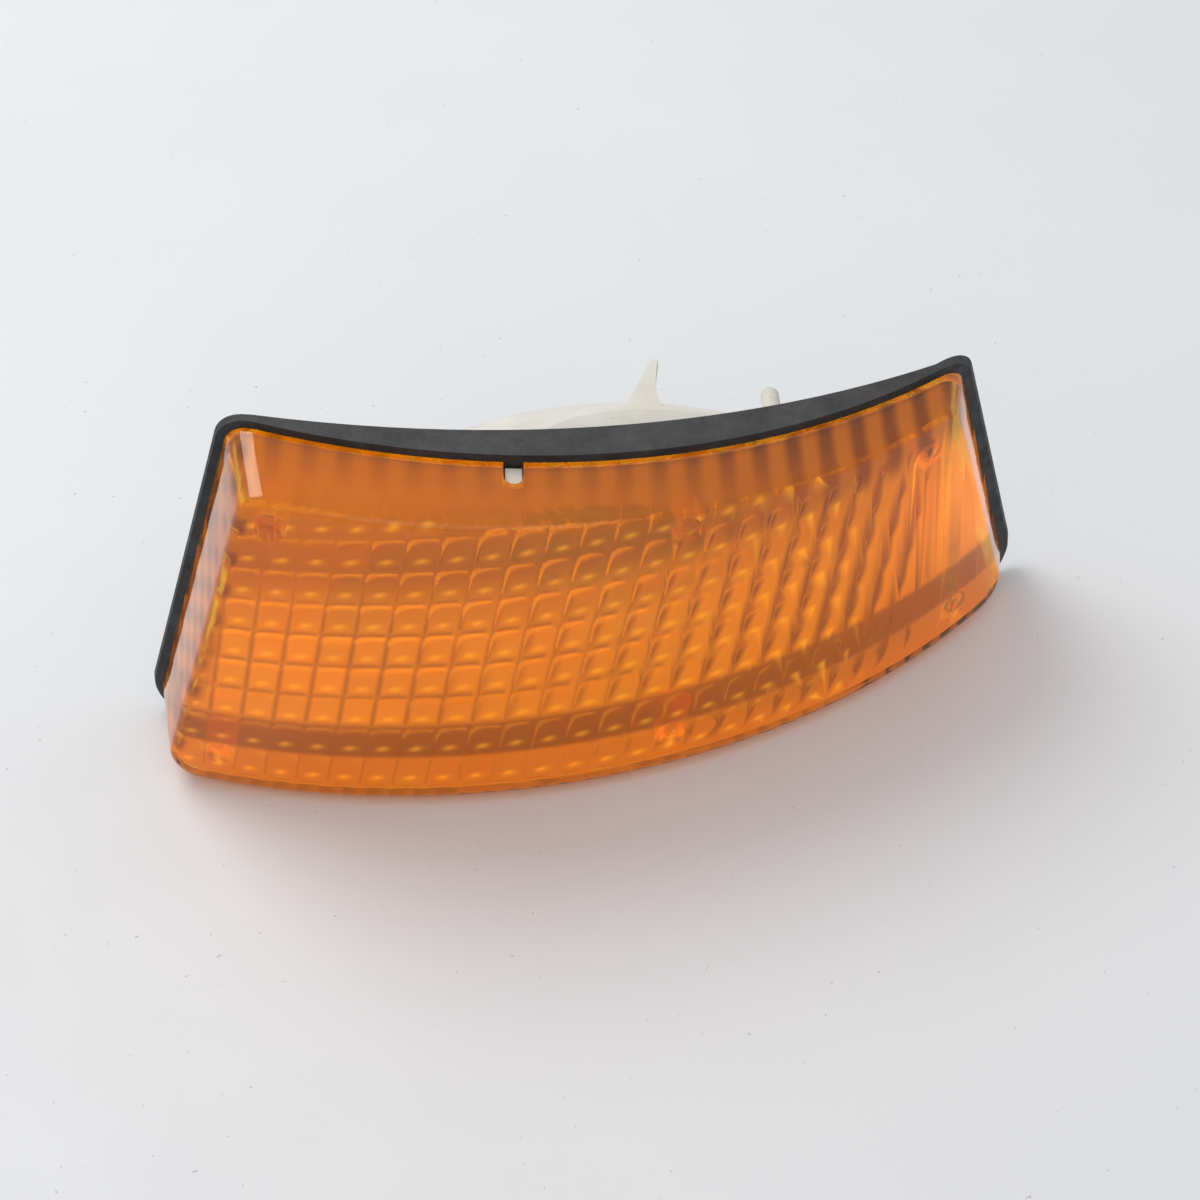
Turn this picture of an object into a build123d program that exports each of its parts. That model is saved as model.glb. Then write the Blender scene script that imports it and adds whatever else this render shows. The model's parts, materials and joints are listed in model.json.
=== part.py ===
from build123d import *
import math
import os

# Flush-mounted motorcycle turn signal with a wrap-around amber lens.
# Frame while building: +X along the lamp, +Y from the lens towards the fairing,
# +Z up, Z = 0 just under the gasket. Everything is moved at the end so that the
# origin is the middle of the bounding box's bottom. Millimetres.

# ---- driving dimensions -------------------------------------------------
# Plan curves, each an arc about a vertical axis: (centre x, front y, radius).
FACE_ARC = (-32.0, 0.0, 164.0)
RIM_ARC = (-25.0, 18.6, 170.0)
GASKET_ARC = (-43.0, 24.8, 255.0)

# Front outline seen along +Y, at the plane Y = 0: four corners (x, z), and how
# far each corner moves per millimetre of depth, because the walls flare.
CORNERS = [(-92.8, 2.0), (84.3, 2.0), (71.4, 61.5), (-66.4, 82.6)]
SIDE_FLARE = math.tan(math.radians(10.0))
TOP_FLARE = math.tan(math.radians(8.0))
CORNER_FLARE = [
    (-SIDE_FLARE, 0.0),
    (SIDE_FLARE, 0.0),
    (SIDE_FLARE, TOP_FLARE),
    (-SIDE_FLARE, TOP_FLARE),
]
CORNER_RADIUS = 6.0
LOFT_FRONT = -12.0
LOFT_REAR = 110.0

LENS_WALL = 2.4
FOLD_RADIUS = 2.6
NOTCH_X = -14.0
NOTCH_WIDTH = 4.0
NOTCH_DEPTH = 6.0

# The housing's flange sits inside the lens walls, this far in front of the rim.
FLANGE_FRONT = -3.4
FLANGE_REAR = -0.4
SEAL_GAP = 1.4
FLANGE_EDGE = -(LENS_WALL + SEAL_GAP)
COLLAR_WALL = 1.8
COLLAR_HEIGHT = 5.5
KEY_CLEARANCE = 0.3

GASKET_GAP = 0.2
GASKET_PROUD = 1.6
GASKET_LIP = 1.8
GASKET_BAND = 12.5

# Lens bosses (x, z): three along the bottom edge and three along the top edge.
LENS_BOSSES = [(-81.0, 10.4), (15.0, 10.4), (80.0, 10.4), (-62.0, 74.6), (20.0, 64.0), (72.0, 58.0)]
POCKETED_BOSSES = [1, 4]
POCKET_RADIUS = 3.8
POCKET_WALL = 1.2
LENS_BOSS_RADIUS = 3.2
PAD_RADIUS = 4.2
SCREW_RADIUS = 1.45
SCREW_PILOT_RADIUS = 1.5
SCREW_HEAD_RADIUS = 2.8
SCREW_HEAD_HEIGHT = 2.2
SCREW_BITE = 8.0
WASHER_RADIUS = 3.4
WASHER_THICKNESS = 0.6

# Rear bowl: an ellipse turned about its long axis, which lies along X.
BOWL_CENTRE = (4.0, 28.0, 37.0)
BOWL_HALF_LENGTH = 65.0
BOWL_RADIUS = 38.4
BOWL_WALL = 2.5

# Bulb axis and the twist-lock holder on it.
AXIS_X = 4.0
AXIS_Z = 26.5
PLATE_FRONT = 66.0
PLATE_THICKNESS = 2.5
PLATE_HOLE_RADIUS = 14.4
NECK_RADIUS = 20.5
NECK_BORE_RADIUS = 18.2
NECK_FRONT = 48.0
LUG_COUNT = 3
LUG_RADIUS = 17.2
LUG_WIDTH_DEG = 26.0
LUG_THICKNESS = 2.0
NOTCH_MARGIN_DEG = 4.0
UNLOCK_DEG = 45.0
LUG_GAP = 0.1

HOLDER_SPIGOT_RADIUS = 14.1
HOLDER_FLANGE_RADIUS = 18.5
HOLDER_FLANGE_THICKNESS = 3.0
HOLDER_SEAL_THICKNESS = 1.6
HOLDER_SEAL_RADIUS = 17.6
HOLDER_FRONT = 58.0
HOLDER_MOUTH_RADIUS = 10.4
HOLDER_MOUTH_DEPTH = 6.5
HOLDER_WELL_REAR = 82.0
HOLDER_REAR = 85.0
HOLDER_BARREL_RADIUS = 11.0
GRIP_WING = (3.2, 24.0)

SOCKET_INNER_RADIUS = 7.75
SOCKET_WALL = 0.7
SOCKET_FRONT = 54.5
SOCKET_REAR = 77.5

# Single-filament bulb with a 15 mm two-pin bayonet cap.
CAP_RADIUS = 7.6
CAP_FRONT = 55.5
CAP_REAR = 71.5
PIN_Y = 61.0
PIN_RADIUS = 1.0
PIN_REACH = 9.0
GLASS_RADIUS = 13.25
GLASS_WALL = 0.8
FILAMENT_LENGTH = 6.2
GLASS_FRONT = 20.0
FILAMENT_Y = 29.5
CONTACT_TIP_Y = 73.5
PUSH_TRAVEL = 1.5
TURN_DEG = 22.0
SLOT_GAP = 0.25

PLUNGER_RADIUS = 7.3
PLUNGER_THICKNESS = 2.4
SPRING_WIRE = 0.8
SPRING_RADIUS = 5.2
SPRING_TURNS = 3
TERMINAL_WIDTH = 6.3
TERMINAL_THICKNESS = 0.8
TERMINAL_REAR = 95.0
LIVE_X = 4.4
EARTH_X = -8.1

# Threaded brass inserts in two pillars behind the flange: (x, pillar end y).
INSERTS = [(-64.0, 44.0), (67.5, 64.0)]
INSERT_Z = 30.0
PILLAR_RADIUS = 7.0
INSERT_RADIUS = 3.5
INSERT_BORE_RADIUS = 2.1
INSERT_LENGTH = 10.0

PEG_X = 40.5
PEG_Z = 63.5
PEG_RADIUS = 2.0
PEG_REAR = 58.5

HORN_Z = 68.0
HORN_THICKNESS = 2.6
HORN_TIP = (16.2, 62.5)
HORN_ROOT_Y = 38.0
HORN_ROOT_LEFT = 6.8
HORN_ROOT_RIGHT = 18.5


# ---- helpers ------------------------------------------------------------
def across(y):
    """Drawing plane across the depth at y: local x, y are the lamp's X, Z."""
    return Plane(origin=(0, y, 0), x_dir=(1, 0, 0), z_dir=(0, -1, 0))


def tube_y(radius, front, rear, x=AXIS_X, z=AXIS_Z):
    """Solid round bar along Y from front to rear."""
    return extrude(across(rear) * Pos(x, z) * Circle(radius), rear - front)


def arc_y(arc, x, offset=0.0):
    """Depth y of a plan arc at x, moved rearwards along its normal by offset."""
    centre_x, front, radius = arc
    r = radius - offset
    return front + radius - math.sqrt(r * r - (x - centre_x) ** 2)


def behind(arc, offset=0.0):
    """Everything behind a plan arc, as a tall round column."""
    centre_x, front, radius = arc
    return Pos(centre_x, front + radius, 40) * Cylinder(radius - offset, 260)


def between(arc, near, far):
    """The curved layer from near to far behind a plan arc."""
    return behind(arc, near) - behind(arc, far)


def outline(y, grow):
    corners = [
        (x + y * dx, z + y * dz) for (x, z), (dx, dz) in zip(CORNERS, CORNER_FLARE)
    ]
    sheet = make_face(Polyline(*corners, close=True))
    sheet = fillet(sheet.vertices(), CORNER_RADIUS)
    if grow:
        sheet = offset(sheet, grow, kind=Kind.ARC)
    return across(y) * sheet


def flared_block(grow=0.0):
    """The lamp's whole outline, drawn out along Y between its flared walls."""
    return loft([outline(LOFT_FRONT, grow), outline(LOFT_REAR, grow)], ruled=True)


def keep(shape):
    """The shape as a plain solid, or as a compound of its solids."""
    solids = shape.solids()
    return solids[0] if len(solids) == 1 else Compound(children=solids)


# ---- lens ---------------------------------------------------------------
def make_lens():
    outer = flared_block() & behind(FACE_ARC)
    front_faces = [
        f
        for f in outer.faces().filter_by(GeomType.CYLINDER)
        if abs(f.radius - FACE_ARC[2]) < 0.01
    ]
    outer = fillet(front_faces[0].edges(), FOLD_RADIUS)
    inner = flared_block(-LENS_WALL) & behind(FACE_ARC, LENS_WALL)
    shell = (outer - inner) - behind(RIM_ARC)
    for x, z in LENS_BOSSES:
        rim_y = arc_y(RIM_ARC, x)
        boss = tube_y(LENS_BOSS_RADIUS, arc_y(FACE_ARC, x), rim_y + 9, x, z) & outer
        boss = boss - behind(RIM_ARC, FLANGE_FRONT)
        pilot = tube_y(SCREW_PILOT_RADIUS, screw_tip(x) - 0.5, rim_y + 9, x, z)
        shell = shell + boss - pilot
    return keep(shell - notch_cutter(NOTCH_WIDTH, NOTCH_DEPTH))


def screw_tip(x):
    """Depth of a lens screw's tip: its bite, or less where the lens is shallow."""
    return max(arc_y(RIM_ARC, x, FLANGE_FRONT) - SCREW_BITE, arc_y(FACE_ARC, x, LENS_WALL) + 0.4)


def notch_cutter(width, depth):
    """U-shaped slot in the rear edge of the lens's upper wall."""
    rim_y = arc_y(RIM_ARC, NOTCH_X)
    half = width / 2
    slot = Pos(NOTCH_X, rim_y - depth + half) * Circle(half)
    slot = slot + Pos(NOTCH_X, rim_y) * Rectangle(width, 2 * (depth - half))
    return Pos(0, 0, 66) * extrude(slot, 30)


# ---- lens seal and housing ----------------------------------------------
def make_lens_seal():
    ring = flared_block(-LENS_WALL - 0.1) - flared_block(-LENS_WALL - SEAL_GAP + 0.1)
    ring = ring & between(RIM_ARC, FLANGE_FRONT + 0.2, FLANGE_REAR - 0.2)
    return keep(ring - notch_cutter(NOTCH_WIDTH, NOTCH_DEPTH + 1))


def bowl(shrink=0.0):
    """The rear bowl's solid shape, cut off flat level with the flange's edge."""
    profile = Ellipse(BOWL_HALF_LENGTH - shrink, BOWL_RADIUS - shrink)
    profile = profile & (Pos(0, BOWL_RADIUS) * Rectangle(3 * BOWL_HALF_LENGTH, 2 * BOWL_RADIUS))
    return (Pos(*BOWL_CENTRE) * revolve(profile, Axis.X)) & flared_block(FLANGE_EDGE - shrink)


def make_housing():
    inside = behind(RIM_ARC, FLANGE_FRONT)
    body = flared_block(FLANGE_EDGE) & between(RIM_ARC, FLANGE_FRONT, FLANGE_REAR)
    body = body + (bowl() & inside)
    plate_rear = PLATE_FRONT + PLATE_THICKNESS
    body = body + tube_y(NECK_RADIUS, NECK_FRONT, plate_rear)
    for x, end in INSERTS:
        body = body + tube_y(PILLAR_RADIUS, arc_y(RIM_ARC, x), end, x, INSERT_Z) + make_web(x, end)
    body = body + make_horn() + make_peg()
    body = body - bowl(BOWL_WALL) - tube_y(NECK_BORE_RADIUS, NECK_FRONT - 12, PLATE_FRONT)
    body = body + (make_screw_pads() & inside)
    body = body - tube_y(PLATE_HOLE_RADIUS, PLATE_FRONT - 1, plate_rear + 1) - plate_notches()
    body = body + make_collar() + make_key()
    for x, end in INSERTS:
        body = body - tube_y(INSERT_RADIUS, end - INSERT_LENGTH, end + 1, x, INSERT_Z)
    for x, z in LENS_BOSSES:
        body = body - tube_y(SCREW_RADIUS + 0.3, arc_y(RIM_ARC, x) - 12, screw_seat(x) + 1, x, z)
    for i in POCKETED_BOSSES:
        x, z = LENS_BOSSES[i]
        body = body - tube_y(POCKET_RADIUS, screw_seat(x), plate_rear + 1, x, z)
    return keep(body)


def make_screw_pads():
    """Flat pads for the screws; where bowl or neck is in the way, walls of a deep pocket."""
    pads = Part()
    plate_rear = PLATE_FRONT + PLATE_THICKNESS
    rear_shape = bowl() + tube_y(NECK_RADIUS, NECK_FRONT, plate_rear)
    for i, (x, z) in enumerate(LENS_BOSSES):
        front = arc_y(RIM_ARC, x) - 12
        if i in POCKETED_BOSSES:
            pads = pads + (tube_y(POCKET_RADIUS + POCKET_WALL, front, plate_rear, x, z) & rear_shape)
        else:
            pads = pads + (tube_y(PAD_RADIUS, front, screw_seat(x), x, z) & flared_block(FLANGE_EDGE))
    return pads


def make_collar():
    """Forward wall inside the lens walls, notched for the lens bosses."""
    collar = flared_block(FLANGE_EDGE - 0.3) - flared_block(FLANGE_EDGE - COLLAR_WALL)
    collar = collar & between(RIM_ARC, FLANGE_FRONT - COLLAR_HEIGHT, FLANGE_FRONT + 1.2)
    collar = collar & behind(FACE_ARC, LENS_WALL + 1.4)
    for x, z in LENS_BOSSES:
        relief = tube_y(LENS_BOSS_RADIUS + 0.5, 0, 110, x, z)
        collar = collar - (relief - behind(RIM_ARC, FLANGE_FRONT))
    return collar


def make_key():
    """Locating key on the flange that fills the notch in the lens."""
    shrink = KEY_CLEARANCE
    key = notch_cutter(NOTCH_WIDTH - 2 * shrink, NOTCH_DEPTH - shrink)
    skin = flared_block(-LENS_WALL / 2) - flared_block(FLANGE_EDGE - 0.5)
    return key & skin & (behind(RIM_ARC, FLANGE_FRONT - COLLAR_HEIGHT) - behind(RIM_ARC, FLANGE_REAR))


def screw_seat(x):
    """Depth of the flat seat for a screw washer, just clear of the curved flange."""
    away = PAD_RADIUS if x > RIM_ARC[0] else -PAD_RADIUS
    return arc_y(RIM_ARC, x + away, FLANGE_REAR) + 0.4


def make_web(x, end):
    """Upright web that braces a pillar against the flange."""
    root = arc_y(RIM_ARC, x, FLANGE_FRONT) + 1.5
    return Pos(x, (root + end - 6) / 2, INSERT_Z) * Box(2.4, end - 6 - root, 30)


def make_peg():
    root = arc_y(RIM_ARC, PEG_X, FLANGE_FRONT) + 1
    shank = tube_y(PEG_RADIUS, root, PEG_REAR - PEG_RADIUS, PEG_X, PEG_Z)
    return shank + Pos(PEG_X, PEG_REAR - PEG_RADIUS, PEG_Z) * Sphere(PEG_RADIUS)


def make_horn():
    """Pointed lug behind the bowl: a tapering shelf with one hollow flank."""
    tip_x, tip_y = HORN_TIP
    left_tip = (tip_x - 0.8, tip_y)
    right_tip = (tip_x + 0.6, tip_y - 0.2)
    left_root = (HORN_ROOT_LEFT, HORN_ROOT_Y)
    right_root = (HORN_ROOT_RIGHT, HORN_ROOT_Y)
    hollow = (tip_x - 0.2, (tip_y + HORN_ROOT_Y) / 2 + 2)
    edges = [
        Line(left_root, left_tip),
        Line(left_tip, right_tip),
        ThreePointArc(right_tip, hollow, right_root),
        Line(right_root, left_root),
    ]
    shelf = Pos(0, 0, HORN_Z) * extrude(make_face(edges), HORN_THICKNESS)
    run = tip_y - HORN_ROOT_Y
    lean = math.degrees(math.atan2(left_tip[0] - HORN_ROOT_LEFT, run))
    web = Box(1.8, math.hypot(run, left_tip[0] - HORN_ROOT_LEFT) - 4, 16,
              align=(Align.MIN, Align.MIN, Align.MAX))
    web = Pos(HORN_ROOT_LEFT + 0.2, HORN_ROOT_Y, HORN_Z + 0.5) * Rot(0, 0, -lean) * web
    return shelf + web


def lug_angle(i):
    return 90.0 + i * 360.0 / LUG_COUNT


def sector(radius, width_deg, middle_deg, front, rear):
    """Pie slice about the bulb axis; angles turn as a right hand about +Y."""
    half = math.radians(width_deg / 2)
    reach = radius / math.cos(half) * 1.05
    middle = math.radians(middle_deg)
    points = [(0, 0)]
    for side in (-half, half):
        points.append((reach * math.cos(middle + side), -reach * math.sin(middle + side)))
    wedge = across(rear) * Pos(AXIS_X, AXIS_Z) * make_face(Polyline(*points, close=True))
    return extrude(wedge, rear - front) & tube_y(radius, front, rear)


def plate_notches():
    """Bayonet notches in the neck plate, one turn away from the lugs."""
    cut = Part()
    for i in range(LUG_COUNT):
        width = LUG_WIDTH_DEG + 2 * NOTCH_MARGIN_DEG
        middle = lug_angle(i) + UNLOCK_DEG
        rear = PLATE_FRONT + PLATE_THICKNESS + 1
        cut = cut + sector(LUG_RADIUS + 0.4, width, middle, PLATE_FRONT - 1, rear)
    return cut


# ---- gasket and fasteners -----------------------------------------------
def make_gasket():
    block = flared_block(GASKET_PROUD)
    front = behind(RIM_ARC, GASKET_GAP)
    lip = block & between(RIM_ARC, GASKET_GAP, GASKET_GAP + GASKET_LIP)
    pad = (block & front) - behind(GASKET_ARC)
    body = lip + pad - flared_block(GASKET_PROUD - GASKET_BAND)
    body = body - (bowl(-0.8) & behind(RIM_ARC))
    for x, z in LENS_BOSSES:
        body = body - tube_y(PAD_RADIUS + 0.6, 0, 120, x, z)
    body = body - tube_y(PEG_RADIUS + 0.6, 0, 120, PEG_X, PEG_Z)
    return max(body.solids(), key=lambda s: s.volume)


def make_screws():
    screws = []
    for x, z in LENS_BOSSES:
        seat = screw_seat(x) + WASHER_THICKNESS
        tip = screw_tip(x)
        shank = tube_y(SCREW_RADIUS, tip + 1.2, seat + 0.5, x, z)
        point = Pos(x, tip + 0.6, z) * Rot(90, 0, 0) * Cone(SCREW_RADIUS, 0.3, 1.2)
        head = tube_y(SCREW_HEAD_RADIUS, seat, seat + SCREW_HEAD_HEIGHT, x, z)
        rim = head.edges().filter_by(GeomType.CIRCLE).sort_by(Axis.Y)[-1]
        head = fillet(rim, 1.0)
        for width, height in ((3.4, 0.8), (0.8, 3.4)):
            head = head - Pos(x, seat + SCREW_HEAD_HEIGHT, z) * Box(width, 2.4, height)
        screws.append(keep(shank + point + head))
    return Compound(children=screws)


def make_washers():
    rings = []
    for x, z in LENS_BOSSES:
        seat = screw_seat(x)
        ring = tube_y(WASHER_RADIUS, seat, seat + WASHER_THICKNESS, x, z)
        rings.append(keep(ring - tube_y(SCREW_RADIUS + 0.15, seat - 1, seat + 2, x, z)))
    return Compound(children=rings)


def make_inserts():
    inserts = []
    for x, end in INSERTS:
        body = tube_y(INSERT_RADIUS, end - INSERT_LENGTH, end, x, INSERT_Z)
        bore = tube_y(INSERT_BORE_RADIUS, end - INSERT_LENGTH - 1, end + 1, x, INSERT_Z)
        inserts.append(keep(body - bore))
    return Compound(children=inserts)


# ---- holder -------------------------------------------------------------
SOCKET_OUTER_RADIUS = SOCKET_INNER_RADIUS + SOCKET_WALL
SEAL_FRONT = PLATE_FRONT + PLATE_THICKNESS + 0.1
HOLDER_FLANGE_FRONT = SEAL_FRONT + HOLDER_SEAL_THICKNESS
HOLDER_FLANGE_REAR = HOLDER_FLANGE_FRONT + HOLDER_FLANGE_THICKNESS


def make_holder():
    body = tube_y(HOLDER_SPIGOT_RADIUS, HOLDER_FRONT, HOLDER_FLANGE_REAR)
    body = body + tube_y(HOLDER_FLANGE_RADIUS, HOLDER_FLANGE_FRONT, HOLDER_FLANGE_REAR)
    body = body + tube_y(HOLDER_BARREL_RADIUS, HOLDER_FLANGE_REAR - 0.5, HOLDER_REAR)
    wing_thick, wing_long = GRIP_WING
    wing_deep = HOLDER_REAR - HOLDER_FLANGE_REAR
    wing = Box(wing_thick, wing_deep, wing_long)
    body = body + Pos(AXIS_X, HOLDER_REAR - wing_deep / 2, AXIS_Z) * wing
    lug_rear = PLATE_FRONT - LUG_GAP
    for i in range(LUG_COUNT):
        lug = sector(LUG_RADIUS, LUG_WIDTH_DEG, lug_angle(i), lug_rear - LUG_THICKNESS, lug_rear)
        body = body + lug
    body = body - tube_y(HOLDER_MOUTH_RADIUS, HOLDER_FRONT - 1, HOLDER_FRONT + HOLDER_MOUTH_DEPTH)
    body = body - tube_y(SOCKET_OUTER_RADIUS + 0.05, HOLDER_FRONT, HOLDER_WELL_REAR)
    body = body - terminal_blade(LIVE_X, HOLDER_WELL_REAR - 0.6, 0.1)
    body = body - terminal_blade(EARTH_X, SOCKET_REAR, 0.1)
    return keep(body)


def terminal_blade(x, front, gap=0.0):
    """Flat blade, x from the bulb axis, that runs out through the back of the holder."""
    length = TERMINAL_REAR - front
    blade = Box(TERMINAL_THICKNESS + 2 * gap, length, TERMINAL_WIDTH + 2 * gap)
    blade = Pos(AXIS_X + x, front + length / 2, AXIS_Z) * blade
    return blade if gap else blade - blade_hole(x)


def blade_hole(x):
    """Round locking hole near the blade's tip."""
    return Pos(AXIS_X + x, TERMINAL_REAR - 3.5, AXIS_Z) * Rot(0, 90, 0) * Cylinder(0.9, 4)


def make_live_terminal():
    """Round foot under the spring with a blade out through the back."""
    front = HOLDER_WELL_REAR - 0.6
    foot = tube_y(6.2, front, HOLDER_WELL_REAR) - tube_y(1.2, front - 1, HOLDER_WELL_REAR + 1)
    return keep(foot + terminal_blade(LIVE_X, front))


def make_earth_terminal():
    """Straight blade that bears on the end of the socket shell."""
    return keep(terminal_blade(EARTH_X, SOCKET_REAR))


def make_holder_seal():
    ring = tube_y(HOLDER_SEAL_RADIUS, SEAL_FRONT, HOLDER_FLANGE_FRONT)
    return keep(ring - tube_y(HOLDER_SPIGOT_RADIUS, SEAL_FRONT - 1, HOLDER_FLANGE_FRONT + 1))


def make_socket():
    shell = tube_y(SOCKET_OUTER_RADIUS, SOCKET_FRONT, SOCKET_REAR)
    shell = shell - tube_y(SOCKET_INNER_RADIUS, SOCKET_FRONT - 1, SOCKET_REAR + 1)
    half_width = PIN_RADIUS + SLOT_GAP
    front = PIN_Y - half_width
    rear = PIN_Y + PUSH_TRAVEL + half_width
    pin_half_deg = math.degrees(half_width / SOCKET_INNER_RADIUS)
    for opposite in (0.0, 180.0):
        turn = TURN_DEG + 2 * pin_half_deg
        window = sector(SOCKET_OUTER_RADIUS + 1, turn, opposite + TURN_DEG / 2, front, rear)
        entry = Pos(8, 0, 0) * Box(16, rear - SOCKET_FRONT + 1, 2 * half_width)
        place = Pos(AXIS_X, (rear + SOCKET_FRONT - 1) / 2, AXIS_Z)
        shell = shell - window - place * Rot(0, opposite + TURN_DEG, 0) * entry
    return keep(shell)


def make_spring():
    """Coil that stands free of the plunger until the bulb is pushed home."""
    rear = HOLDER_WELL_REAR - 0.7
    front = CONTACT_TIP_Y + PLUNGER_THICKNESS + PUSH_TRAVEL + 0.1
    height = rear - front - SPRING_WIRE
    coil = Helix(height / SPRING_TURNS, height, SPRING_RADIUS)
    wire = sweep(Plane(origin=coil @ 0, z_dir=coil % 0) * Circle(SPRING_WIRE / 2), path=coil)
    return Pos(AXIS_X, front + SPRING_WIRE / 2, AXIS_Z) * Rot(-90, 0, 0) * wire


# ---- plunger and bulb ---------------------------------------------------
PLUNGER_REAR = CONTACT_TIP_Y + PLUNGER_THICKNESS
BUTTON_RADIUS = 2.6


def make_plunger():
    disc = tube_y(PLUNGER_RADIUS, CONTACT_TIP_Y + 0.3, PLUNGER_REAR)
    return keep(disc - tube_y(BUTTON_RADIUS, CONTACT_TIP_Y - 1, PLUNGER_REAR + 1))


def make_plunger_contact():
    return tube_y(BUTTON_RADIUS, CONTACT_TIP_Y, PLUNGER_REAR)


def bulb_envelope(shrink):
    """Round bulb on a tapering neck, made smaller all over by shrink."""
    radius = GLASS_RADIUS - shrink
    centre = GLASS_FRONT + GLASS_RADIUS
    neck_length = CAP_FRONT - centre
    neck = Pos(AXIS_X, centre + neck_length / 2, AXIS_Z) * Rot(-90, 0, 0) * Cone(
        radius * 0.97, CAP_RADIUS - 0.9 - shrink, neck_length
    )
    return Pos(AXIS_X, centre, AXIS_Z) * Sphere(radius) + neck


def make_bulb_glass():
    return keep(bulb_envelope(0.0) - bulb_envelope(GLASS_WALL))


def make_bulb_cap():
    cup = tube_y(CAP_RADIUS, CAP_FRONT - 2.5, CAP_REAR)
    cup = cup - tube_y(CAP_RADIUS - 0.5, CAP_FRONT - 3, CAP_REAR - 0.8)
    cup = cup - bulb_envelope(-0.05)
    cup = cup - tube_y(3.2, CAP_REAR - 2, CAP_REAR + 1)
    for side in (-1, 1):
        cup = cup - cross_pin(side)
    return keep(max(cup.solids(), key=lambda s: s.volume))


def cross_pin(side):
    """One bayonet pin through the cap wall, along X."""
    inner = CAP_RADIUS - 0.6
    pin = Cylinder(PIN_RADIUS, PIN_REACH - inner, rotation=(0, 90, 0))
    return Pos(AXIS_X + side * (inner + PIN_REACH) / 2, PIN_Y, AXIS_Z) * pin


def make_bulb_pins():
    return Compound(children=[keep(cross_pin(side)) for side in (-1, 1)])


def make_bulb_insulator():
    plug = tube_y(3.2, CAP_REAR - 1.5, CAP_REAR + 0.6)
    return keep(plug - tube_y(1.8, CAP_REAR - 3, CAP_REAR + 2))


def make_bulb_contact():
    stem = tube_y(1.8, CAP_REAR - 1.5, CONTACT_TIP_Y - 0.6)
    tip = tube_y(2.4, CAP_REAR + 0.6, CONTACT_TIP_Y - 0.02)
    rim = tip.edges().filter_by(GeomType.CIRCLE).sort_by(Axis.Y)[-1]
    return keep(stem + fillet(rim, 0.6))


def make_bulb_stem():
    """Glass foot that carries the two support wires."""
    foot = Pos(AXIS_X, 44.5, AXIS_Z) * Box(7.0, 9.0, 2.4)
    return keep(fillet(foot.edges().filter_by(Axis.Y), 0.8))


def make_support_wires():
    wires = []
    for side in (-1, 1):
        root = Pos(AXIS_X + side * 2.4, 37.8, AXIS_Z) * Rot(-90, 0, 0) * Cylinder(0.35, 4.4)
        lean = math.degrees(math.atan2(1.4, 35.6 - FILAMENT_Y))
        length = math.hypot(1.4, 35.6 - FILAMENT_Y)
        place = Pos(AXIS_X + side * 3.1, (35.6 + FILAMENT_Y) / 2, AXIS_Z)
        arm = place * Rot(90, 0, 0) * Rot(0, side * lean, 0) * Cylinder(0.35, length)
        wires.append(keep(root + Pos(AXIS_X + side * 2.4, 35.6, AXIS_Z) * Sphere(0.35) + arm))
    return Compound(children=wires)


def make_filament():
    coil = Helix(0.7, FILAMENT_LENGTH, 0.55)
    wire = sweep(Plane(origin=coil @ 0, z_dir=coil % 0) * Circle(0.2), path=coil)
    return Pos(AXIS_X - FILAMENT_LENGTH / 2, FILAMENT_Y, AXIS_Z) * Rot(0, 90, 0) * wire


# ---- build and write ----------------------------------------------------
NODES = {
    "lens": make_lens,
    "lens_seal": make_lens_seal,
    "housing": make_housing,
    "panel_gasket": make_gasket,
    "lens_screws": make_screws,
    "lens_screw_washers": make_washers,
    "mounting_inserts": make_inserts,
    "holder_body": make_holder,
    "holder_seal": make_holder_seal,
    "socket_shell": make_socket,
    "contact_spring": make_spring,
    "live_terminal": make_live_terminal,
    "earth_terminal": make_earth_terminal,
    "contact_plunger": make_plunger,
    "plunger_contact": make_plunger_contact,
    "bulb_glass": make_bulb_glass,
    "bulb_cap": make_bulb_cap,
    "bulb_pins": make_bulb_pins,
    "bulb_insulator": make_bulb_insulator,
    "bulb_contact": make_bulb_contact,
    "bulb_stem": make_bulb_stem,
    "bulb_support_wires": make_support_wires,
    "bulb_filament": make_filament,
}

shapes = {name: make() for name, make in NODES.items()}
whole = Compound(children=[Compound(children=shape.solids()) for shape in shapes.values()])
box = whole.bounding_box()
home = Pos(-(box.min.X + box.max.X) / 2, -(box.min.Y + box.max.Y) / 2, -box.min.Z)
print("size", box.size, "moved by", home.position)

os.makedirs("parts", exist_ok=True)
for name, shape in shapes.items():
    placed = [home * solid for solid in shape.solids()]
    export_step(placed[0] if len(placed) == 1 else Compound(children=placed), f"parts/{name}.step")
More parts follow.
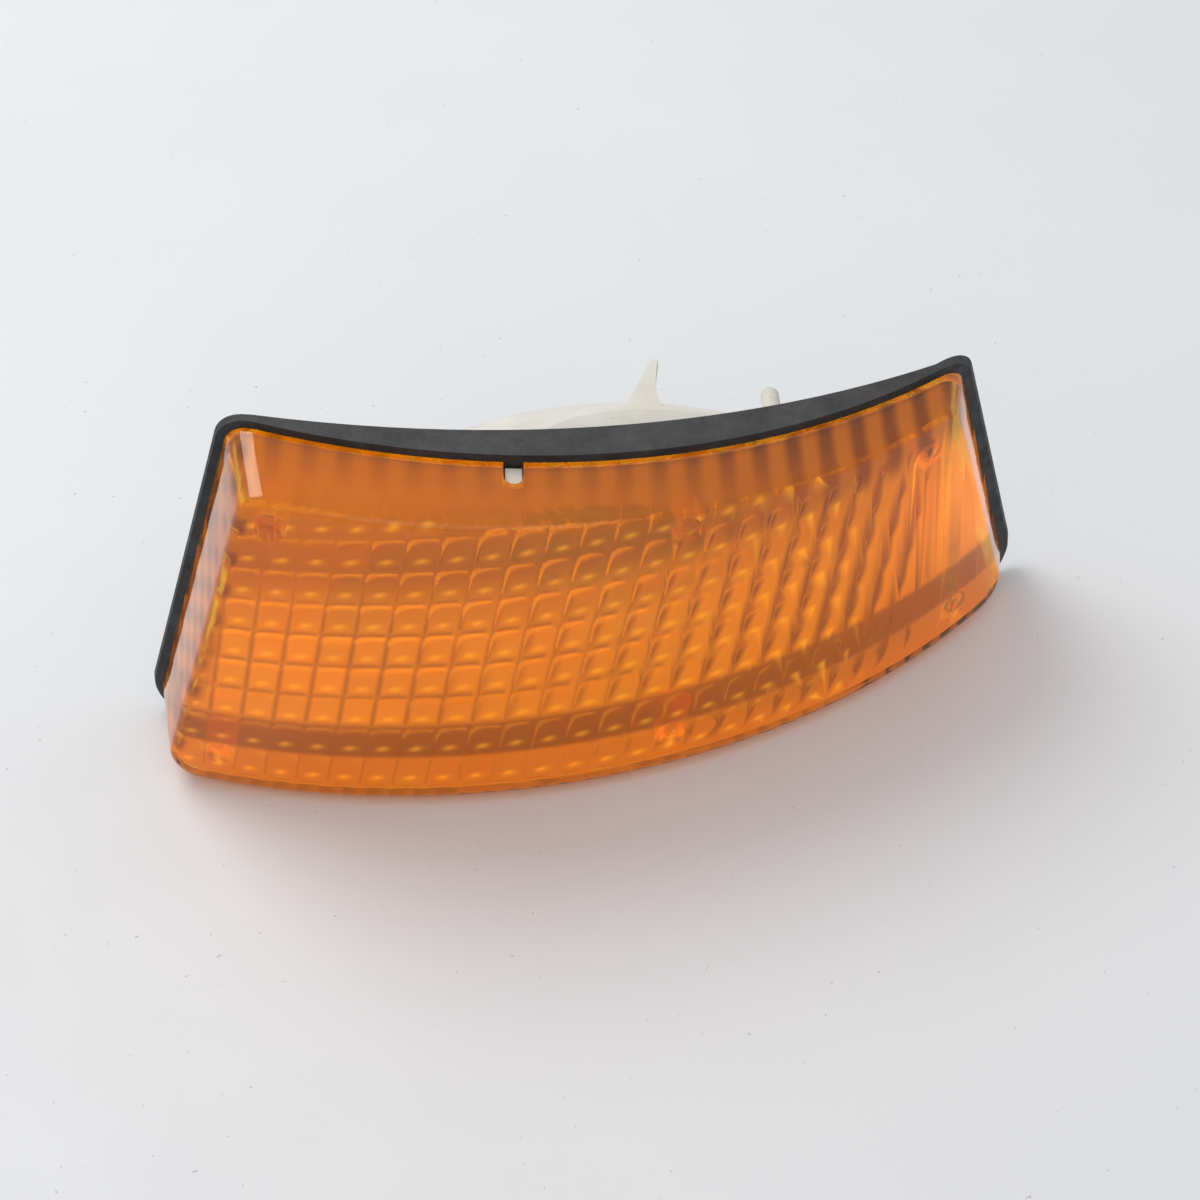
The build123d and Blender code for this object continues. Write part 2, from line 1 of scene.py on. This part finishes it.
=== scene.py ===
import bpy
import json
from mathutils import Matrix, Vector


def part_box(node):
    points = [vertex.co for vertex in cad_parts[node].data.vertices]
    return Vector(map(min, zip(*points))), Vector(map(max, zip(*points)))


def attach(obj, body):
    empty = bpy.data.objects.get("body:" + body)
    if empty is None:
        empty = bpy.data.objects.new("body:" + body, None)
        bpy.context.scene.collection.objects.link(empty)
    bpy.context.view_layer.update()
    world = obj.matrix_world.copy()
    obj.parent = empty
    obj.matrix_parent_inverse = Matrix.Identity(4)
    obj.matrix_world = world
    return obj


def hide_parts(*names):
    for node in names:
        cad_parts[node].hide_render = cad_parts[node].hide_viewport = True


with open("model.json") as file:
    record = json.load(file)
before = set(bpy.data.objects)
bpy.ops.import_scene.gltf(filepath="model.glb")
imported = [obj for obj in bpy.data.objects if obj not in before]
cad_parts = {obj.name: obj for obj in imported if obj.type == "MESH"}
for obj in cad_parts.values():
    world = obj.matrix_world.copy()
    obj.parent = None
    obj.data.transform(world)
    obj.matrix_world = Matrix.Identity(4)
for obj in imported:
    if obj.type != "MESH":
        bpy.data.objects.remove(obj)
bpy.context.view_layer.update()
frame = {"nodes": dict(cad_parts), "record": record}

import json
import math

import bmesh
import bpy
import numpy as np
from mathutils import Matrix, Vector

MM = 0.001
nodes = frame["nodes"]

# The CAD was drawn with its bulb axis at X 4, Z 26.5 and the blade tips at Y 95, in
# millimetres. These boxes say where that drawing frame sits in the row's frame.
barrel_low, barrel_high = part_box("holder_body")
blade_low, blade_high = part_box("live_terminal")
HOME = Vector(
    (
        (barrel_low.x + barrel_high.x) / 2 - 4.0 * MM,
        blade_high.y - 95.0 * MM,
        (barrel_low.z + barrel_high.z) / 2 - 26.5 * MM,
    )
)

# Lens geometry in the drawing frame, millimetres, as in the CAD.
FACE_X, FACE_RADIUS = -32.0, 164.0
LENS_WALL = 2.4
CORNERS = np.array([(-92.8, 2.0), (84.3, 2.0), (71.4, 61.5), (-66.4, 82.6)])
FLARE = np.array([(-0.1763, 0.0), (0.1763, 0.0), (0.1763, 0.1405), (-0.1763, 0.1405)])

# Pillow optics on the lens's inner face, millimetres. One column's middle passes
# through (COLUMN_X, COLUMN_Z), the columns lean, and one row starts at ROW_Z.
PITCH_ALONG = 7.0
PITCH_UP = 8.44
COLUMN_X = -17.5
COLUMN_Z = 15.5
ROW_Z = 13.8
COLUMN_LEAN = 0.247
PILLOW_RADIUS = 9.5
OPTICS_DEEPEST = 3.6
STEP_MAX = 1.1
SLAB_FRONT = 1.3

# The plane of the left wall: x leans with height and with depth, millimetres.
LEFT_LEAN_UP = 0.3275
LEFT_LEAN_DEEP = 0.1763
LEFT_WALL_X = HOME.x / MM - 93.45 - LEFT_LEAN_UP * HOME.z / MM + LEFT_LEAN_DEEP * HOME.y / MM

# Painted shade for the cells and flutes on the walls, millimetres.
SIDE_CELL_DEEP = 12.5
FLUTES_ABOVE = (56.0, 60.0)
FLUTES_BEHIND = (8.0, 30.0)


def collect(name, mesh, body, stands_for=None):
    """Puts a mesh into the scene as a piece that rides on a CAD body."""
    piece = bpy.data.objects.new(name, mesh)
    bpy.context.scene.collection.objects.link(piece)
    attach(piece, body)
    if stands_for:
        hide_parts(*stands_for)
    return piece


# ---- lens with its optics ------------------------------------------------
def face_depth(x, inward):
    """Depth y of the outer face at x, moved inward along its normal."""
    radius = FACE_RADIUS - inward
    return FACE_RADIUS - np.sqrt(radius**2 - (x - FACE_X) ** 2)


def outside(x, y, z, inset, corner):
    """Signed distance from the lens outline, moved in by inset; below 0 is inside."""
    corners = CORNERS[:, None, :] + y[None, :, None] * FLARE[:, None, :]
    nxt = np.roll(corners, -1, axis=0)
    edge = nxt - corners
    edge /= np.linalg.norm(edge, axis=2, keepdims=True)
    to_point = np.stack([x, z], axis=1)[None] - corners
    d = to_point[..., 0] * edge[..., 1] - to_point[..., 1] * edge[..., 0] + inset + corner
    rounded = np.sqrt((np.maximum(d, 0.0) ** 2).sum(axis=0))
    return np.where((d > 0).any(axis=0), rounded, d.max(axis=0)) - corner


def clip(points, triangles, value):
    """Keeps the part of a triangle mesh where value is below 0."""
    points = [tuple(p) for p in points]
    made = {}
    kept = []

    def cross(a, b):
        key = (a, b) if a < b else (b, a)
        if key not in made:
            t = value[key[0]] / (value[key[0]] - value[key[1]])
            low, high = np.array(points[key[0]]), np.array(points[key[1]])
            made[key] = len(points)
            points.append(tuple(low + t * (high - low)))
        return made[key]

    inside = value < 0
    for triangle in triangles:
        flags = [inside[i] for i in triangle]
        count = sum(flags)
        if count == 3:
            kept.append(tuple(triangle))
        elif count:
            turn = flags.index(True) if count == 1 else (flags.index(False) + 1) % 3
            a, b, c = (triangle[(turn + i) % 3] for i in range(3))
            if count == 1:
                kept.append((a, cross(a, b), cross(a, c)))
            else:
                far_b, far_a = cross(b, c), cross(a, c)
                kept.append((a, b, far_b))
                kept.append((a, far_b, far_a))
    return np.array(points), np.array(kept)


def optics_grid(per_column=8, per_row=9):
    """Pillow optics as (x, z, depth behind the outer face), with its triangles.

    Every cell is a crowned pillow. Towards the swept-back end each one also slopes,
    so a narrow step joins it to the next column.
    """
    p_cell = np.linspace(-0.48, 0.5, per_column + 1)
    q_cell = np.linspace(0, 1, per_row + 1)[:-1]
    columns, p = (a.ravel() for a in np.meshgrid(range(-13, 21), p_cell, indexing="ij"))
    rows, q = (a.ravel() for a in np.meshgrid(range(-2, 8), q_cell, indexing="ij"))
    z = (ROW_Z + (rows + q) * PITCH_UP)[:, None]
    s = ((columns + p) * PITCH_ALONG)[None] + COLUMN_LEAN * (z - COLUMN_Z)
    crown = (p[None] * PITCH_ALONG) ** 2 + ((q[:, None] - 0.5) * PITCH_UP) ** 2
    slope = STEP_MAX * np.clip((s + 30) / 110, 0, 1)
    depth = OPTICS_DEEPEST - crown / (2 * PILLOW_RADIUS) - slope * (p[None] + 0.5)
    start = math.asin((COLUMN_X - FACE_X) / FACE_RADIUS)
    x = FACE_X + FACE_RADIUS * np.sin(s / FACE_RADIUS + start)
    wide = len(p)
    first = (np.arange(len(q) - 1)[:, None] * wide + np.arange(wide - 1)[None]).ravel()
    lower = np.stack([first, first + 1, first + wide + 1], axis=1)
    upper = np.stack([first, first + wide + 1, first + wide], axis=1)
    points = np.stack([x.ravel(), np.broadcast_to(z, x.shape).ravel(), depth.ravel()], axis=1)
    return points, np.concatenate([lower, upper])


def optics_slab():
    """Closed slab inside the front wall whose rear face carries the optics."""
    points, triangles = optics_grid()
    depth_here = face_depth(points[:, 0], LENS_WALL)
    value = outside(points[:, 0], depth_here, points[:, 1], LENS_WALL - 0.8, 4.0)
    points, triangles = clip(points, triangles, value)
    used = np.unique(triangles)
    renumber = -np.ones(len(points), int)
    renumber[used] = np.arange(len(used))
    x, z, depth = points[used].T
    triangles = renumber[triangles]
    rear = np.stack([x, face_depth(x, 0.0) + depth, z], axis=1)
    front = np.stack([x, face_depth(x, SLAB_FRONT), z], axis=1)
    count = len(used)
    edges = np.concatenate([triangles[:, [0, 1]], triangles[:, [1, 2]], triangles[:, [2, 0]]])
    found = {tuple(edge) for edge in edges.tolist()}
    rims = [edge for edge in found if edge[::-1] not in found]
    faces = triangles[:, ::-1].tolist() + (triangles + count).tolist()
    faces += [(a, b, b + count, a + count) for a, b in sorted(rims)]
    mesh = bpy.data.meshes.new("optics")
    places = np.concatenate([rear, front]) * MM + np.array(HOME)
    mesh.from_pydata(places.tolist(), [], faces)
    return mesh


def paint_cells(mesh):
    """Stores on each vertex how much painted shade and painted highlight its part of an optic cell
    gets.

    p runs from -0.5 to 0.5 across a cell and q from 0 to 1 up it. Painted shade darkens the
    cell edges as lines and grows a dark crescent towards the swept-back end; a painted
    highlight, the glint, sits low.
    """
    places = np.empty(len(mesh.vertices) * 3)
    mesh.vertices.foreach_get("co", places)
    x, y, z = (places.reshape(-1, 3) - np.array(HOME)).T / MM
    start = math.asin((COLUMN_X - FACE_X) / FACE_RADIUS)
    s = (np.arcsin(np.clip((x - FACE_X) / FACE_RADIUS, -1, 1)) - start) * FACE_RADIUS
    tilt = np.clip((s + 25) / 70, 0, 1)
    q = (z - ROW_Z) / PITCH_UP
    q -= np.floor(q)
    p = (s - COLUMN_LEAN * (z - COLUMN_Z)) / PITCH_ALONG
    p -= np.floor(p + 0.5)
    bow = p + 0.10 * tilt * np.cos(math.pi * q)
    # Painted shade: dark lines along the cell edges and a dark crescent in the swept-back cells.
    lines = 0.55 * np.exp(-(((0.5 - abs(p)) * 14) ** 2)) * (1 - 0.5 * tilt)
    lines = np.maximum(lines, 0.5 * np.exp(-((np.minimum(q, 1 - q) * 15) ** 2)))
    crescent = np.clip((-0.14 - bow) / 0.22, 0, 1) * tilt * (0.35 + 0.65 * np.sin(math.pi * q))
    depth = y - face_depth(x, 0.0)
    front = (depth > 1.0) & (depth < 4.2) & (outside(x, y, z, 0.0, 6.0) < -2.6)
    shade = np.where(front, np.maximum(lines, 0.85 * crescent), 0.0)
    # Painted highlight: a small bright glint low in each cell.
    glint = 0.6 * np.exp(-(((q - 0.2) * 20) ** 2) - ((p * 6) ** 2)) * front
    for name, value in (("cell_shade", shade), ("cell_glint", glint)):
        layer = mesh.attributes.new(name, "FLOAT", "POINT")
        layer.data.foreach_set("value", value.astype(np.float32))


def lens_piece():
    """The CAD lens and its optics, made one closed solid."""
    shell = nodes["lens"].data.copy()
    shell.name = "amber_lens"
    work = bpy.data.objects.new("lens_work", shell)
    bpy.context.scene.collection.objects.link(work)
    weld(shell)
    optics = bpy.data.objects.new("optics_work", optics_slab())
    bpy.context.scene.collection.objects.link(optics)
    union = work.modifiers.new("union", "BOOLEAN")
    union.operation = "UNION"
    union.solver = "EXACT"
    union.object = optics
    result = evaluated_mesh(work, "amber_lens")
    bpy.data.objects.remove(optics)
    bpy.data.objects.remove(work)
    keep_largest_island(result)
    paint_cells(result)
    return result


def keep_largest_island(mesh):
    """Drops the specks that the boolean leaves shut inside the wall."""
    bm = bmesh.new()
    bm.from_mesh(mesh)
    unseen = set(bm.verts)
    islands = []
    while unseen:
        island = [unseen.pop()]
        for vert in island:
            near = {edge.other_vert(vert) for edge in vert.link_edges} & unseen
            unseen -= near
            island.extend(near)
        islands.append(island)
    islands.sort(key=len)
    for island in islands[:-1]:
        bmesh.ops.delete(bm, geom=island, context="VERTS")
    bm.to_mesh(mesh)
    bm.free()


def mark_inner_faces(mesh):
    """Gives the faces behind the outer skin the second material."""
    centre = np.array([face.center for face in mesh.polygons]) / MM - np.array(HOME) / MM
    x, y, z = centre.T
    depth = y - face_depth(x, 0.0)
    inner = (depth > 1.0) & (outside(x, y, z, 0.0, 6.0) < -1.2)
    mesh.polygons.foreach_set("material_index", inner.astype(np.int32))


def weld(mesh, distance=1e-6):
    bm = bmesh.new()
    bm.from_mesh(mesh)
    bmesh.ops.remove_doubles(bm, verts=bm.verts, dist=distance)
    bmesh.ops.recalc_face_normals(bm, faces=bm.faces)
    bm.to_mesh(mesh)
    bm.free()


def evaluated_mesh(piece, name):
    graph = bpy.context.evaluated_depsgraph_get()
    mesh = bpy.data.meshes.new_from_object(piece.evaluated_get(graph))
    mesh.name = name
    return mesh


def smooth(mesh, degrees):
    mesh.shade_smooth()
    mesh.set_sharp_from_angle(angle=math.radians(degrees))


# ---- materials -----------------------------------------------------------
class Shader:
    """A node material with a Principled shader and a few procedural layers."""

    def __init__(self, name, **fixed):
        self.material = bpy.data.materials.new(name)
        self.material.use_nodes = True
        self.tree = self.material.node_tree
        self.main = self.tree.nodes["Principled BSDF"]
        self.place = self.tree.nodes.new("ShaderNodeTexCoord").outputs["Object"]
        for key, value in fixed.items():
            socket = "IOR" if key == "ior" else key.replace("_", " ").title()
            self.main.inputs[socket].default_value = value

    def noise(self, scale, detail=4.0, roughness=0.55, distortion=0.0):
        node = self.tree.nodes.new("ShaderNodeTexNoise")
        node.inputs["Scale"].default_value = scale
        node.inputs["Detail"].default_value = detail
        node.inputs["Roughness"].default_value = roughness
        node.inputs["Distortion"].default_value = distortion
        self.tree.links.new(self.place, node.inputs["Vector"])
        return node.outputs["Fac"]

    def cells(self, scale, feature="F1"):
        node = self.tree.nodes.new("ShaderNodeTexVoronoi")
        node.feature = feature
        node.inputs["Scale"].default_value = scale
        self.tree.links.new(self.place, node.inputs["Vector"])
        return node.outputs["Distance"]

    def ramp(self, source, low, high, dark, light):
        """Maps source from low..high to dark..light, as numbers or colours."""
        if isinstance(dark, tuple):
            node = self.tree.nodes.new("ShaderNodeValToRGB")
            node.color_ramp.elements[0].position = low
            node.color_ramp.elements[1].position = high
            node.color_ramp.elements[0].color = (*dark, 1)
            node.color_ramp.elements[1].color = (*light, 1)
            self.tree.links.new(source, node.inputs["Fac"])
            return node.outputs["Color"]
        node = self.tree.nodes.new("ShaderNodeMapRange")
        for index, value in enumerate((low, high, dark, light), start=1):
            node.inputs[index].default_value = value
        self.tree.links.new(source, node.inputs[0])
        return node.outputs[0]

    def blend(self, factor, under, over):
        """Colour over laid on colour under by factor."""
        node = self.tree.nodes.new("ShaderNodeMix")
        node.data_type = "RGBA"
        for socket, value in ((node.inputs[6], under), (node.inputs[7], over)):
            if isinstance(value, tuple):
                socket.default_value = (*value, 1)
            else:
                self.tree.links.new(value, socket)
        self.tree.links.new(factor, node.inputs[0])
        return node.outputs[2]

    def math(self, operation, a, b=0):
        node = self.tree.nodes.new("ShaderNodeMath")
        node.operation = operation
        for socket, value in zip(node.inputs, (a, b)):
            if isinstance(value, (int, float)):
                socket.default_value = value
            else:
                self.tree.links.new(value, socket)
        return node.outputs[0]

    def facing_up(self):
        geometry = self.tree.nodes.new("ShaderNodeNewGeometry")
        split = self.tree.nodes.new("ShaderNodeSeparateXYZ")
        self.tree.links.new(geometry.outputs["Normal"], split.inputs[0])
        return split.outputs["Z"]

    def stored(self, name):
        """A number kept on the mesh's vertices."""
        node = self.tree.nodes.new("ShaderNodeAttribute")
        node.attribute_name = name
        return node.outputs["Fac"]

    def top_flutes(self):
        """Painted shade of flutes: soft stripes down the lens's top wall, one to each column of the
        optics.
        """
        split = self.tree.nodes.new("ShaderNodeSeparateXYZ")
        self.tree.links.new(self.place, split.inputs[0])
        x, y, z = split.outputs
        wave = self.math("SINE", self.math("MULTIPLY", x, math.tau / (PITCH_ALONG * MM)))
        rear = self.ramp(y, *(HOME.y + depth * MM for depth in FLUTES_BEHIND), 0.0, 1.0)
        high = self.ramp(z, *(height * MM for height in FLUTES_ABOVE), 0.0, 1.0)
        stripe = self.ramp(wave, -0.6, 0.8, 0.0, 0.35)
        return self.math("MULTIPLY", self.math("MULTIPLY", stripe, high), rear)

    def left_wall(self):
        """Share of painted shade on the lens's left wall, in a soft chequer; 0 elsewhere."""
        split = self.tree.nodes.new("ShaderNodeSeparateXYZ")
        self.tree.links.new(self.place, split.inputs[0])
        x, y, z = split.outputs
        lean = self.math("SUBTRACT", x, self.math("MULTIPLY", z, LEFT_LEAN_UP))
        lean = self.math("ADD", lean, self.math("MULTIPLY", y, LEFT_LEAN_DEEP))
        edge = LEFT_WALL_X * MM
        wall = self.ramp(lean, edge + 3.0 * MM, edge + 5.5 * MM, 1.0, 0.0)
        rows = self.math("SINE", self.math("MULTIPLY", z, math.tau / (PITCH_UP * MM)))
        files = self.math("SINE", self.math("MULTIPLY", y, math.tau / (SIDE_CELL_DEEP * MM)))
        chequer = self.ramp(self.math("MULTIPLY", rows, files), -0.8, 0.8, 0.3, 0.85)
        return self.math("MULTIPLY", wall, chequer)

    def dark_rows(self):
        """Share of painted shade by height, as (share of 90 mm, darkening) stops."""
        split = self.tree.nodes.new("ShaderNodeSeparateXYZ")
        self.tree.links.new(self.place, split.inputs[0])
        node = self.tree.nodes.new("ShaderNodeValToRGB")
        node.color_ramp.interpolation = "EASE"
        stops = [(0.0, 0.7), (0.06, 0.35), (0.135, 0.35), (0.155, 0.75), (0.235, 0.7)]
        stops += [(0.26, 0.03), (0.48, 0.0), (0.60, 0.24), (0.70, 0.58), (0.90, 0.45)]
        ramp = node.color_ramp
        ramp.elements[0].position, ramp.elements[1].position = stops[0][0], stops[-1][0]
        for position, _ in stops[1:-1]:
            ramp.elements.new(position)
        for element, (position, share) in zip(ramp.elements, stops):
            element.color = (share, share, share, 1)
        height = self.ramp(split.outputs["Z"], 0.0, 0.09, 0.0, 1.0)
        self.tree.links.new(height, node.inputs["Fac"])
        return node.outputs["Color"]

    def colour(self, source):
        self.tree.links.new(source, self.main.inputs["Base Color"])

    def roughness(self, source):
        self.tree.links.new(source, self.main.inputs["Roughness"])

    def bump(self, source, strength, distance):
        node = self.tree.nodes.new("ShaderNodeBump")
        node.inputs["Strength"].default_value = strength
        node.inputs["Distance"].default_value = distance
        self.tree.links.new(source, node.inputs["Height"])
        previous = self.main.inputs["Normal"]
        if previous.is_linked:
            self.tree.links.new(previous.links[0].from_socket, node.inputs["Normal"])
        self.tree.links.new(node.outputs["Normal"], self.main.inputs["Normal"])


def amber():
    """The lens's outer skin: clear and glossy."""
    s = Shader("amber_lens", transmission_weight=0.98, ior=1.49)
    s.main.inputs["Specular IOR Level"].default_value = 0.3
    s.colour(s.ramp(s.noise(60), 0.35, 0.7, (1.0, 0.56, 0.015), (1.0, 0.62, 0.03)))
    s.roughness(s.ramp(s.noise(240, 6), 0.45, 0.75, 0.02, 0.12))
    s.bump(s.noise(900, 3), 0.03, 0.0001)
    return s.material


def amber_inside():
    """The lens's inner faces, which scatter as well as refract.

    Painted shade (dark rows, cell lines, side cells, flutes) and painted highlights (glints)
    are laid on here. The emission is painted light that stands in for daylight scattering
    inside the lens, so the lens glows in the dark.
    """
    s = Shader("amber_lens_inside", transmission_weight=0.5, ior=1.49)
    s.main.inputs["Specular IOR Level"].default_value = 0.2
    body = s.ramp(s.noise(60), 0.35, 0.7, (1.0, 0.43, 0.001), (1.0, 0.50, 0.004))
    # Painted shade: dark rows, cell lines, left wall cells and top flutes.
    shade = s.math("MAXIMUM", s.dark_rows(), s.stored("cell_shade"))
    shade = s.math("MAXIMUM", shade, s.left_wall())
    shade = s.math("ADD", shade, s.top_flutes())
    s.colour(s.blend(shade, body, (0.30, 0.035, 0.0)))
    # Painted light: the emission, dimmed where painted shade lies.
    glow = s.blend(shade, (0.42, 0.145, 0.0), (0.02, 0.002, 0.0))
    # Painted highlight: each cell's glint makes the emission brighter.
    glow = s.blend(s.stored("cell_glint"), glow, (1.0, 0.55, 0.06))
    s.tree.links.new(glow, s.main.inputs["Emission Color"])
    s.main.inputs["Emission Strength"].default_value = 1.0
    s.roughness(s.ramp(s.noise(300, 6), 0.4, 0.75, 0.06, 0.18))
    s.bump(s.noise(700, 3), 0.05, 0.0001)
    return s.material


def white_plastic():
    s = Shader("white_plastic", ior=1.47)
    base = s.ramp(s.noise(45, 6), 0.35, 0.7, (0.70, 0.655, 0.57), (0.84, 0.81, 0.75))
    specks = s.ramp(s.noise(900, 2), 0.70, 0.76, 0.0, 0.55)
    s.colour(s.blend(specks, base, (0.32, 0.25, 0.18)))
    s.roughness(s.ramp(s.noise(200), 0.3, 0.7, 0.38, 0.62))
    s.bump(s.noise(1500, 3), 0.12, 0.0001)
    s.main.inputs["Subsurface Weight"].default_value = 0.08
    s.main.inputs["Subsurface Radius"].default_value = (0.002, 0.0015, 0.001)
    return s.material


def rubber(name, dusty):
    s = Shader(name, ior=1.5)
    base = s.ramp(s.noise(120, 8, 0.65), 0.3, 0.75, (0.012, 0.012, 0.013), (0.045, 0.045, 0.047))
    up = s.ramp(s.facing_up(), 0.25, 1.0, 0.0, dusty)
    patchy = s.math("MULTIPLY", up, s.ramp(s.noise(70, 9, 0.7), 0.25, 0.7, 0.35, 1.0))
    base = s.blend(patchy, base, (0.20, 0.195, 0.19))
    rust = s.math("MULTIPLY", s.ramp(s.noise(38, 4), 0.60, 0.72, 0.0, 0.4), up)
    base = s.blend(rust, base, (0.23, 0.11, 0.06))
    cracks = s.ramp(s.cells(420, "DISTANCE_TO_EDGE"), 0.0, 0.06, 0.0, 1.0)
    s.colour(base)
    s.roughness(s.ramp(s.noise(300, 5), 0.3, 0.7, 0.5, 0.85))
    s.bump(cracks, 0.35, 0.0002)
    s.bump(s.noise(260, 8, 0.7, 0.6), 0.6, 0.0006)
    return s.material


def metal(name, dark, light, rough, scale=300):
    s = Shader(name, metallic=1.0)
    s.colour(s.ramp(s.noise(scale, 6), 0.3, 0.75, dark, light))
    s.roughness(s.ramp(s.noise(scale * 2, 4), 0.3, 0.7, rough, rough + 0.25))
    s.bump(s.noise(scale * 4, 3), 0.1, 0.00005)
    return s.material


def plastic(name, dark, light, rough):
    s = Shader(name, ior=1.5)
    s.colour(s.ramp(s.noise(180, 6), 0.3, 0.7, dark, light))
    s.roughness(s.ramp(s.noise(350, 4), 0.3, 0.7, rough, rough + 0.2))
    s.bump(s.noise(1800, 3), 0.15, 0.00008)
    return s.material


def clear_glass():
    s = Shader("bulb_glass", transmission_weight=1.0, ior=1.45)
    s.colour(s.ramp(s.noise(80), 0.3, 0.7, (0.96, 0.96, 0.95), (1.0, 1.0, 1.0)))
    s.roughness(s.ramp(s.noise(160), 0.5, 0.8, 0.0, 0.05))
    s.bump(s.noise(90, 2), 0.03, 0.0002)
    return s.material


MATERIALS = {
    "amber_lens": amber(),
    "white_plastic": white_plastic(),
    "gasket_rubber": rubber("gasket_rubber", 0.2),
    "pale_sealant": plastic("pale_sealant", (0.62, 0.57, 0.47), (0.78, 0.74, 0.66), 0.5),
    "seal_rubber": rubber("seal_rubber", 0.1),
    "zinc_steel": metal("zinc_steel", (0.38, 0.36, 0.31), (0.70, 0.69, 0.64), 0.28),
    "insert_brass": metal("insert_brass", (0.45, 0.30, 0.10), (0.80, 0.60, 0.27), 0.25),
    "holder_plastic": plastic("holder_plastic", (0.012, 0.012, 0.013), (0.03, 0.03, 0.032), 0.4),
    "socket_metal": metal("socket_metal", (0.42, 0.40, 0.36), (0.74, 0.72, 0.66), 0.3),
    "bulb_glass": clear_glass(),
    "cap_brass": metal("cap_brass", (0.50, 0.36, 0.14), (0.82, 0.64, 0.32), 0.22),
    "contact_brass": metal("contact_brass", (0.40, 0.28, 0.12), (0.74, 0.58, 0.28), 0.3),
    "insulating_board": plastic("insulating_board", (0.16, 0.08, 0.04), (0.30, 0.17, 0.09), 0.5),
    "black_glass": plastic("black_glass", (0.008, 0.008, 0.01), (0.02, 0.02, 0.025), 0.08),
    "tungsten": metal("tungsten", (0.16, 0.16, 0.17), (0.34, 0.34, 0.35), 0.35),
}

for entry in frame["record"]["subparts"]:
    target = nodes[entry["node"]].data
    target.materials.clear()
    target.materials.append(MATERIALS[entry["material_slot"]])

lens_mesh = lens_piece()
lens_mesh.materials.clear()
lens_mesh.materials.append(MATERIALS["amber_lens"])
lens_mesh.materials.append(amber_inside())
mark_inner_faces(lens_mesh)
smooth(lens_mesh, 20)
collect("amber_lens", lens_mesh, "lamp", ["lens"])


# ---- floor, light and camera ---------------------------------------------
def make_floor():
    s = Shader("table", ior=1.45)
    specks = s.ramp(s.noise(520, 2), 0.735, 0.75, 0.0, 0.5)
    top = s.ramp(s.noise(6), 0.3, 0.7, (0.80, 0.81, 0.82), (0.83, 0.84, 0.85))
    s.colour(s.blend(specks, top, (0.35, 0.33, 0.3)))
    s.roughness(s.ramp(s.noise(40), 0.3, 0.7, 0.45, 0.6))
    mesh = bpy.data.meshes.new("table")
    r = 3.0
    mesh.from_pydata([(-r, -r, 0), (r, -r, 0), (r, r, 0), (-r, r, 0)], [], [(0, 1, 2, 3)])
    mesh.materials.append(s.material)
    floor = bpy.data.objects.new("table", mesh)
    bpy.context.scene.collection.objects.link(floor)


def soft_light(name, place, size, energy, colour):
    lamp = bpy.data.lights.new(name, "AREA")
    lamp.shape = "DISK"
    lamp.size = size
    lamp.energy = energy
    lamp.color = colour
    light = bpy.data.objects.new(name, lamp)
    light.location = place
    light.rotation_euler = (Vector((0, 0, 0.03)) - Vector(place)).to_track_quat("-Z", "Y").to_euler()
    bpy.context.scene.collection.objects.link(light)


make_floor()
soft_light("key", (-0.55, 0.55, 1.1), 0.9, 7.5, (1.0, 0.99, 0.97))
soft_light("front_fill", (0.3, -1.2, 1.0), 1.2, 2.0, (0.96, 0.98, 1.0))

world = bpy.data.worlds.new("studio")
world.use_nodes = True
world.node_tree.nodes["Background"].inputs["Color"].default_value = (0.95, 0.97, 1.0, 1)
world.node_tree.nodes["Background"].inputs["Strength"].default_value = 0.62
bpy.context.scene.world = world
bpy.context.scene.view_settings.view_transform = "Standard"

camera = bpy.data.cameras.new("camera")
camera.lens = 77.6
camera.sensor_width = 36
eye = bpy.data.objects.new("camera", camera)
eye.matrix_world = (
    Matrix.Translation(HOME + Vector((6.3, -398.4, 389.3)) * MM)
    @ Matrix.Rotation(math.radians(0.6), 4, "Z")
    @ Matrix.Rotation(math.radians(90 - 39.93), 4, "X")
    @ Matrix.Rotation(math.radians(-3.14), 4, "Z")
)
bpy.context.scene.collection.objects.link(eye)
bpy.context.scene.camera = eye
